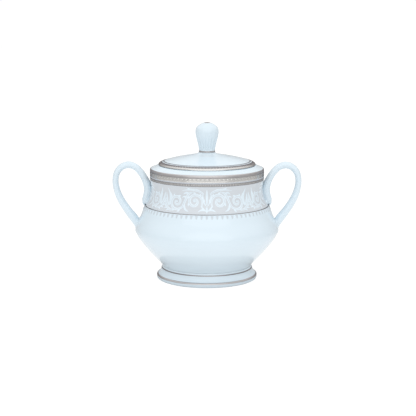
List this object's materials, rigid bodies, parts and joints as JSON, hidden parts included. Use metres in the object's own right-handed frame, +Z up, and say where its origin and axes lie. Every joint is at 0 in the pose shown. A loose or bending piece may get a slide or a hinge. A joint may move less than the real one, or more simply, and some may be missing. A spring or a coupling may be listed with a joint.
{
  "type": "covered sugar bowl",
  "caption": "Covered porcelain sugar bowl on a foot, with loop handles, a lift-off domed lid, platinum bands and a scroll frieze.",
  "frame": {"origin": "centre of the foot's underside, on the bowl's axis", "axes": "+Z up the bowl's axis, +X across the two handles, +Y from front to back"},
  "size_m": [0.1412, 0.1068, 0.1168],
  "materials": {
    "porcelain": "gloss glaze, bluish white",
    "platinum": "fired-on platinum, satin to bright",
    "frieze_ground": "grey in-glaze print with white scrolls",
    "grey_print": "grey in-glaze print"
  },
  "bodies": {
    "bowl": {"bowl_body": "porcelain", "pedestal_foot": "porcelain", "handle_left": "porcelain", "handle_right": "porcelain", "rim_band": "platinum", "frieze_band": "frieze_ground", "frieze_line": "platinum", "drop_border": "grey_print", "foot_upper_line": "platinum", "foot_edge_line": "platinum"},
    "lid": {"lid_dome": "porcelain", "lid_flange": "porcelain", "lid_knob": "porcelain", "lid_band": "platinum", "lid_inner_line": "platinum", "knob_collar": "platinum", "knob_cap": "platinum"}
  },
  "joints": [
    {"name": "lid_lift", "type": "slide", "parent": "bowl", "child": "lid", "axis": [0, 0, 1], "range_m": [0, 0.06]}
  ]
}
